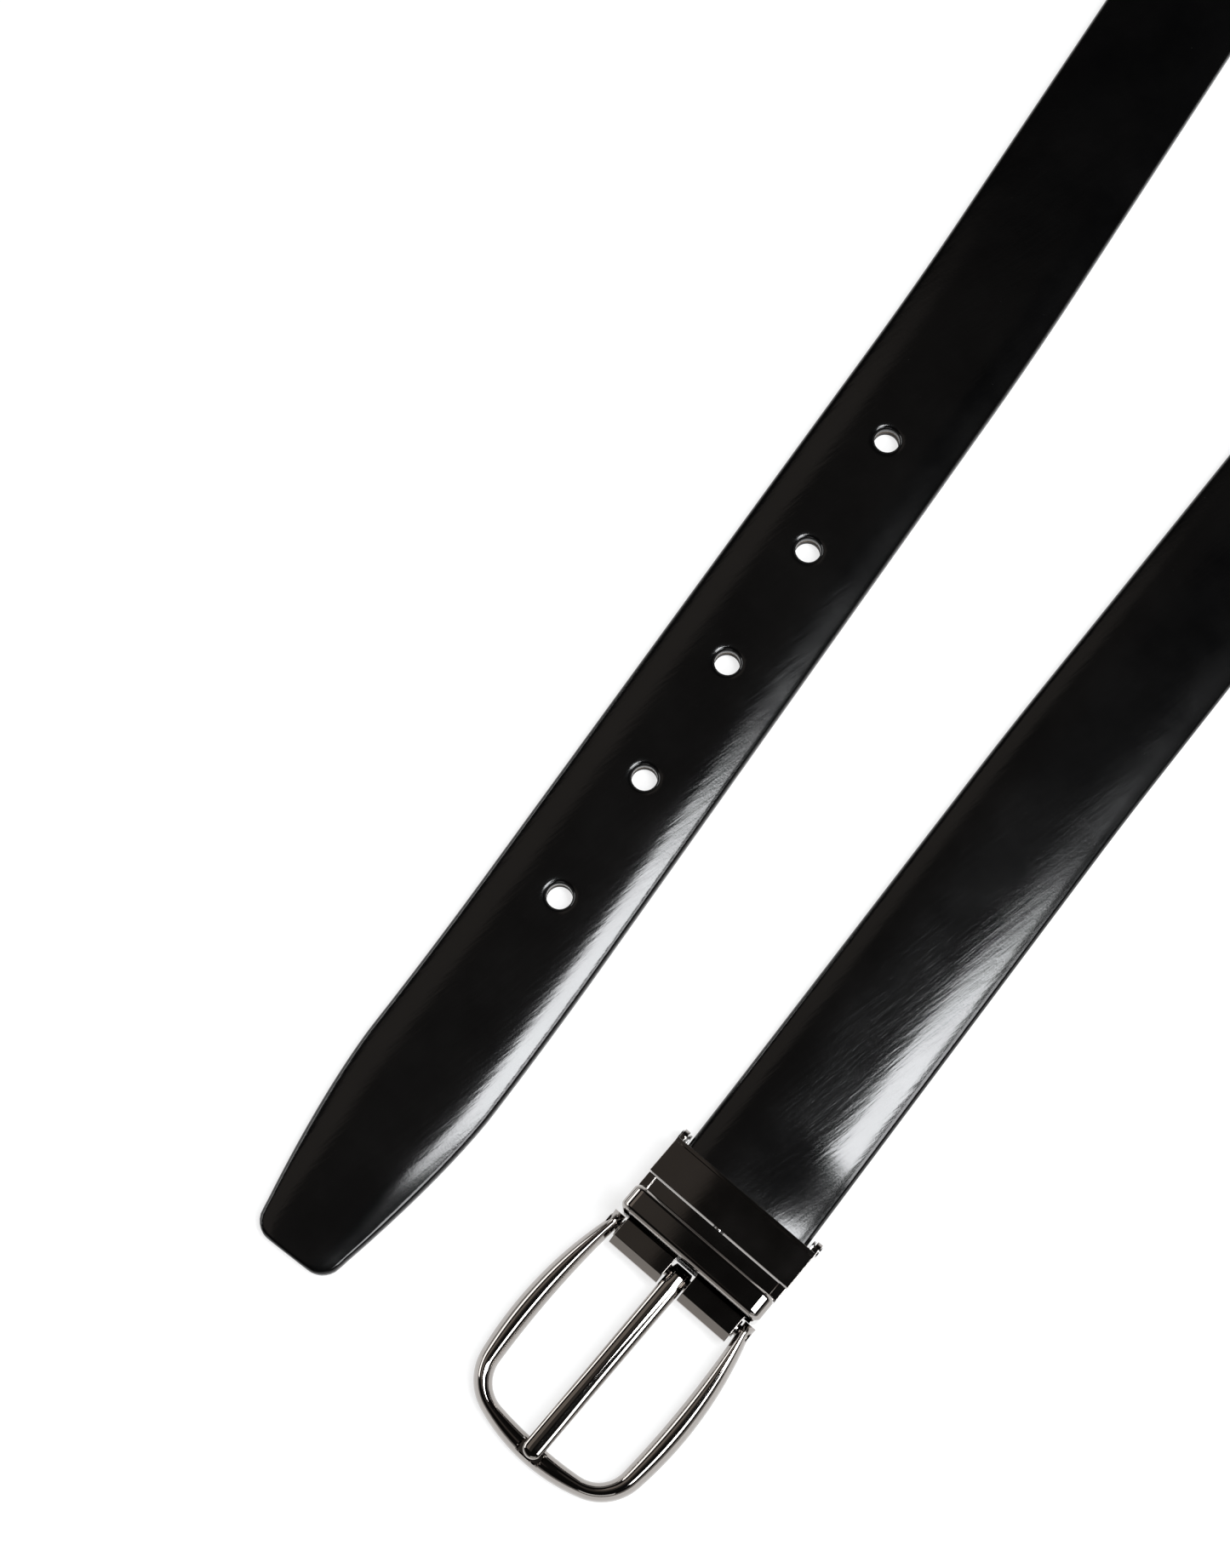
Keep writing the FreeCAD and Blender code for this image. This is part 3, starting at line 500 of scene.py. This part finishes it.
def plated_metal(name, colour, low_rough, high_rough):
    """Polished plating with faint handling marks and an uneven shine."""
    material, shader = new_material(name, colour, 1.0, low_rough)
    haze = noise(material, 90.0, 3.0)
    marks = noise(material, 1500.0, 3.0, stretch=(8.0, 1.0, 1.0), turn=math.radians(-20))
    dark = tuple(part * 0.94 for part in colour)
    feed(material, shader, "Base Color", colours(material, haze, (0.35, dark), (0.7, colour)))
    feed(material, shader, "Roughness", ranged(material, haze, 0.3, 0.75, low_rough, high_rough))
    first = bump(material, marks, 0.00001, 0.05)
    feed(material, shader, "Normal", bump(material, haze, 0.00002, 0.05, under=first))
    return material


FACE = face_leather()
BACK = back_leather()
CORE = core_leather()
NICKEL = plated_metal("dark_nickel", (0.40, 0.375, 0.355), 0.03, 0.06)
STEEL = plated_metal("bright_steel", (0.58, 0.57, 0.56), 0.18, 0.3)


# -------------------------------------------------------- the buckle's own frame

def buckle_space(x, y, z):
    """A point of the buckle's own frame, in metres, with z from the pin's axis."""
    point = PIN + TOWARDS_STRAP * x + ALONG_PIN * y
    return Vector((point.x, point.y, AXIS_HEIGHT + z)) * MM


def skin_of_rings(mesh, rings):
    """Quads between successive rings of points, and one flat face across each end ring."""
    made = [[mesh.verts.new(point) for point in ring] for ring in rings]
    for ring, following in zip(made, made[1:]):
        count = len(ring)
        for n in range(count):
            m = (n + 1) % count
            mesh.faces.new((ring[n], ring[m], following[m], following[n]))
    mesh.faces.new(list(reversed(made[0])))
    mesh.faces.new(made[-1])


# ------------------------------------------------------------------- the frame

FRAME_TILT = math.radians(1.775)
FRAME_HALF = 2.2
FRAME_REACH = 45.2
BAR_WIDTH = 4.5
NOTCH_HALF = 2.6
NOTCH_FLOOR = 1.2
NOTCH_LIP = 1.0
EYE_RADIUS = 2.3
ARM_OUTER = 17.65
ARM_INNER = 15.1
OUTER_CREST_AT = 22.0
OUTER_CREST = 20.8
OUTER_BAR_RADIUS = 38.5
OUTER_CORNER = 11.0
INNER_CREST_AT = 20.0
INNER_CREST = 16.1
INNER_BAR_RADIUS = 83.0
INNER_CORNER = 6.5
NOTCH_ZONE = -30.0
ARC_STEPS = (26, 14, 40)


def bar_section():
    """The bar's section: across it from its outer side (-1) to its inner side (1), and up from its middle."""
    crest = 0.05
    outer_low = -0.55
    inner_low = -0.2
    points = [(-0.82, -0.98), (-0.95, -0.85)]
    for n in range(13):
        turn = math.pi / 2 * n / 12
        points.append((crest - (1 + crest) * math.cos(turn), outer_low + (1 - outer_low) * math.sin(turn)))
    for n in range(1, 12):
        turn = math.pi / 2 * n / 11
        points.append((crest + (1 - crest) * math.sin(turn), inner_low + (1 - inner_low) * math.cos(turn)))
    return points + [(0.95, -0.85), (0.82, -0.98)]


D_SECTION = bar_section()


def tangent_u(start_y, crest_x, crest_y, bar_x, bar_radius, corner_radius, counts):
    """Points along arm, corner and bar, as arcs that are tangent to each other, to the axis."""
    drop = crest_y - start_y
    arm_radius = (crest_x ** 2 + drop ** 2) / (2 * drop)
    arm_centre = Vector((-crest_x, crest_y - arm_radius))
    bar_centre = Vector((bar_radius - bar_x, 0.0))
    from_arm = arm_radius - corner_radius
    from_bar = bar_radius - corner_radius
    gap = bar_centre - arm_centre
    along = (from_arm ** 2 - from_bar ** 2 + gap.length_squared) / (2 * gap.length)
    away = math.sqrt(from_arm ** 2 - along ** 2)
    ahead = gap.normalized()
    corner = arm_centre + ahead * along + Vector((-ahead.y, ahead.x)) * away

    def angle(centre, point):
        return math.atan2(point.y - centre.y, point.x - centre.x)

    start = angle(arm_centre, Vector((0.0, start_y)))
    first = angle(arm_centre, corner)
    second = angle(bar_centre, corner)
    arcs = ((arm_centre, arm_radius, start, first, counts[0]),
            (corner, corner_radius, first, second, counts[1]),
            (bar_centre, bar_radius, second, math.pi, counts[2]))
    points = []
    for centre, radius, begin, end, count in arcs:
        for n in range(count):
            turn = begin + (end - begin) * n / count
            points.append((centre.x + radius * math.cos(turn), centre.y + radius * math.sin(turn)))
    return points + [(-bar_x, 0.0)]


def make_frame():
    """The U-shaped frame: rounded above, bevelled inside, with eyes and the prong's notch."""
    outer = tangent_u(ARM_OUTER, OUTER_CREST_AT, OUTER_CREST, FRAME_REACH,
                      OUTER_BAR_RADIUS, OUTER_CORNER, ARC_STEPS)
    inner = tangent_u(ARM_INNER, INNER_CREST_AT, INNER_CREST, FRAME_REACH - BAR_WIDTH,
                      INNER_BAR_RADIUS, INNER_CORNER, ARC_STEPS)
    mesh = bmesh.new()
    tilt_cos = math.cos(FRAME_TILT)
    tilt_sin = math.sin(FRAME_TILT)

    def tilted(x, y, z):
        return buckle_space(x * tilt_cos - z * tilt_sin, y, z * tilt_cos + x * tilt_sin)

    def ring_at(out_point, in_point, side):
        ring = []
        for across, up in D_SECTION:
            share = (across + 1) / 2
            x = out_point[0] * (1 - share) + in_point[0] * share
            y = out_point[1] * (1 - share) + in_point[1] * share
            z = up * FRAME_HALF
            if abs(y) < NOTCH_HALF and NOTCH_LIP - FRAME_REACH < x < NOTCH_ZONE:
                z = min(z, NOTCH_FLOOR)
            ring.append(tilted(x, side * y, z))
        return ring

    def end_ring(turn, side):
        """The section carried round the eye: lower and lower towards its far side."""
        x = EYE_RADIUS * math.sin(turn)
        height = EYE_RADIUS * math.cos(turn)
        return [tilted(x, side * (ARM_OUTER + (ARM_INNER - ARM_OUTER) * (across + 1) / 2), up * height)
                for across, up in D_SECTION]

    turns = [math.radians(angle) for angle in (88, 82, 74, 64, 52, 40, 28, 16)]
    pairs = list(zip(outer, inner))
    left = [ring_at(o, i, 1) for o, i in pairs]
    right = [ring_at(o, i, -1) for o, i in pairs[:-1]]
    skin_of_rings(mesh, [end_ring(turn, 1) for turn in turns] + left
                  + list(reversed(right)) + [end_ring(turn, -1) for turn in reversed(turns)])
    bmesh.ops.recalc_face_normals(mesh, faces=mesh.faces)
    piece = finish_mesh("frame_polished", mesh, 24.0)
    piece.data.materials.append(NICKEL)
    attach(piece, "frame")
    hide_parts("buckle_frame")


# ------------------------------------------------------------------- the prong

PRONG_REACH = 44.0
PRONG_HALF = 2.2
PRONG_EYE = 2.2
PRONG_LOW = -0.6
PRONG_TIP_LOW = -0.05
PRONG_TIP_HIGH = 1.95
PRONG_NARROWING = 0.12
PRONG_RISE_START = 20.0
PRONG_RISE_LENGTH = 18.0
PRONG_CURL_END = -2.1


def prong_section(x):
    """Half width, top and bottom of the prong at a distance from the pin; x is negative ahead."""
    share = min(1.0, max(0.0, -x / PRONG_REACH))
    top = PRONG_EYE + (PRONG_TIP_HIGH - PRONG_EYE) * share
    bottom = PRONG_LOW + (PRONG_TIP_LOW - PRONG_LOW) * ease((-x - PRONG_RISE_START) / PRONG_RISE_LENGTH)
    half = PRONG_HALF - PRONG_NARROWING * ease(share)
    if x > 0:
        top = math.sqrt(max(0.0, PRONG_EYE ** 2 - x ** 2))
    if x > PRONG_CURL_END:
        bottom = -math.sqrt(max(0.0, PRONG_EYE ** 2 - x ** 2))
    blunt = PRONG_REACH + x
    if blunt < PRONG_HALF:
        fall = max(0.0, 1 - (1 - blunt / PRONG_HALF) ** 2.6) ** 0.5
        half *= max(0.16, fall)
        top = bottom + (top - bottom) * (0.45 + 0.55 * fall)
    if x > 1.0:
        half -= 0.35 * ((x - 1.0) / 1.2) ** 2
    return half, top, bottom


def make_prong():
    """The tongue: half round above, flat below, curled round the pin at its root."""
    stops = [2.17, 2.1, 1.95, 1.7, 1.35, 0.9, 0.45, 0.0, -0.6, -1.2, -1.7, -2.05, -2.15, -2.6]
    stops += [-3.5 - n * 1.5 for n in range(26)]
    stops += [-PRONG_REACH + gap for gap in (2.2, 1.8, 1.4, 1.0, 0.65, 0.35, 0.14, 0.03)]
    rings = []
    for x in sorted(stops, reverse=True):
        half, top, bottom = prong_section(x)
        shoulder = bottom + (top - bottom) * 0.42
        edge = min(0.3, half * 0.2)
        ring = [(-half + edge, bottom), (-half, bottom + edge * 0.8)]
        ring += [(-half * math.cos(math.pi * n / 16),
                  shoulder + (top - shoulder) * math.sin(math.pi * n / 16) ** 0.8) for n in range(17)]
        ring += [(half, bottom + edge * 0.8), (half - edge, bottom)]
        rings.append([buckle_space(x, y, z) for y, z in ring])
    mesh = bmesh.new()
    skin_of_rings(mesh, rings)
    bmesh.ops.recalc_face_normals(mesh, faces=mesh.faces)
    piece = finish_mesh("prong_polished", mesh, 40.0)
    piece.data.materials.append(NICKEL)
    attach(piece, "prong")
    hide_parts("prong")


# ------------------------------------------------ clamp, head and keeper, edges eased

def make_eased(node, name, body, material, ease_width, segments=3):
    """A piece with the CAD node's shape and small rounded edges."""
    mesh = bmesh.new()
    mesh.from_mesh(frame["nodes"][node].data)
    bmesh.ops.remove_doubles(mesh, verts=mesh.verts, dist=1e-6)
    bmesh.ops.dissolve_limit(mesh, angle_limit=math.radians(1.0), verts=mesh.verts, edges=mesh.edges)
    sharp = [edge for edge in mesh.edges
             if len(edge.link_faces) == 2 and edge.calc_face_angle(0.0) > math.radians(28)]
    bmesh.ops.bevel(mesh, geom=sharp, offset=ease_width * MM, segments=segments, profile=0.5,
                    affect="EDGES", clamp_overlap=True)
    piece = finish_mesh(name, mesh, 34.0)
    evener = piece.modifiers.new("even_normals", "WEIGHTED_NORMAL")
    evener.keep_sharp = True
    piece.data.materials.append(material)
    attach(piece, body)
    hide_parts(node)


def keep_node(node, material):
    """A CAD node that stays as it is, with its finished material."""
    thing = frame["nodes"][node]
    thing.data.materials.clear()
    thing.data.materials.append(material)


# ------------------------------------------------------------------- the stage

FLOOR_DROP = 0.0003
FLOOR_HALF = 6.0


def make_floor():
    """A plain white floor under the belt."""
    mesh = bmesh.new()
    bmesh.ops.create_grid(mesh, x_segments=8, y_segments=8, size=FLOOR_HALF)
    for vertex in mesh.verts:
        vertex.co.z -= FLOOR_DROP
    floor = finish_mesh("floor", mesh)
    material, shader = new_material("floor_white", (0.30, 0.30, 0.30), 0.0, 0.6)
    shader.inputs["Emission Color"].default_value = (1.0, 1.0, 1.0, 1.0)
    shader.inputs["Emission Strength"].default_value = 0.75
    floor.data.materials.append(material)


def make_light(name, place, target, width, depth, radiance, colour=(1.0, 1.0, 1.0)):
    """A soft rectangular light that points at a target; its power follows its radiance."""
    data = bpy.data.lights.new(name, "AREA")
    data.shape = "RECTANGLE"
    data.size = width
    data.size_y = depth
    data.energy = radiance * math.pi * width * depth
    data.color = colour
    light = bpy.data.objects.new(name, data)
    bpy.context.scene.collection.objects.link(light)
    aim = (Vector(target) - Vector(place)).to_track_quat("-Z", "Y")
    light.matrix_world = Matrix.Translation(place) @ aim.to_matrix().to_4x4()


def make_stage():
    """White floor, softboxes round the belt, dim panels overhead, and a sky dark at its top."""
    make_floor()
    cool = (0.96, 0.98, 1.0)
    warm = (1.0, 0.88, 0.78)
    make_light("key_softbox", (0.13, -0.51, 1.45), (0.1, -0.04, 0.0), 0.42, 0.60, 21.0, cool)
    make_light("side_softbox", (-0.1, -1.15, 1.2), (-0.1, -0.06, 0.0), 0.9, 0.5, 9.0, cool)
    make_light("dim_ceiling", (0.1, 0.26, 1.5), (0.1, 0.26, 0.0), 1.6, 0.5, 0.055, warm)
    make_light("rear_ceiling", (0.1, 0.86, 1.5), (0.1, 0.2, 0.0), 1.6, 0.7, 0.28, warm)
    make_light("left_softbox", (-0.25, 1.3, 0.55), (0.0, 0.0, 0.0), 1.2, 0.45, 3.0)
    make_light("front_softbox", (-1.3, -0.7, 0.6), (-0.1, -0.05, 0.0), 1.0, 0.4, 0.9)
    world = bpy.data.worlds.new("studio")
    world.use_nodes = True
    nodes = world.node_tree.nodes
    links = world.node_tree.links
    direction = nodes.new("ShaderNodeTexCoord")
    height = nodes.new("ShaderNodeSeparateXYZ")
    fade = nodes.new("ShaderNodeMapRange")
    fade.interpolation_type = "SMOOTHSTEP"
    fade.inputs["From Min"].default_value = 0.42
    fade.inputs["From Max"].default_value = 0.02
    fade.inputs["To Min"].default_value = 0.008
    fade.inputs["To Max"].default_value = 0.45
    links.new(direction.outputs["Generated"], height.inputs["Vector"])
    links.new(height.outputs["Z"], fade.inputs["Value"])
    links.new(fade.outputs["Result"], nodes["Background"].inputs["Strength"])
    nodes["Background"].inputs["Color"].default_value = (1.0, 0.965, 0.93, 1.0)
    bpy.context.scene.world = world
    bpy.context.scene.view_settings.view_transform = "Standard"


make_strap(FACE, BACK)
make_frame()
make_prong()
make_eased("clamp_housing", "clamp_polished", "strap", NICKEL, 0.1)
make_eased("buckle_head", "head_polished", "head", NICKEL, 0.12)
make_eased("keeper_loop", "keeper_polished", "head", NICKEL, 0.75, 6)
make_eased("clamp_flap", "flap_pressed", "flap", STEEL, 0.1, 2)
keep_node("strap_filler", CORE)
for inner_node in ("flap_rivets", "swivel_stud", "swivel_spring"):
    keep_node(inner_node, STEEL)
keep_node("hinge_pin", NICKEL)
make_stage()
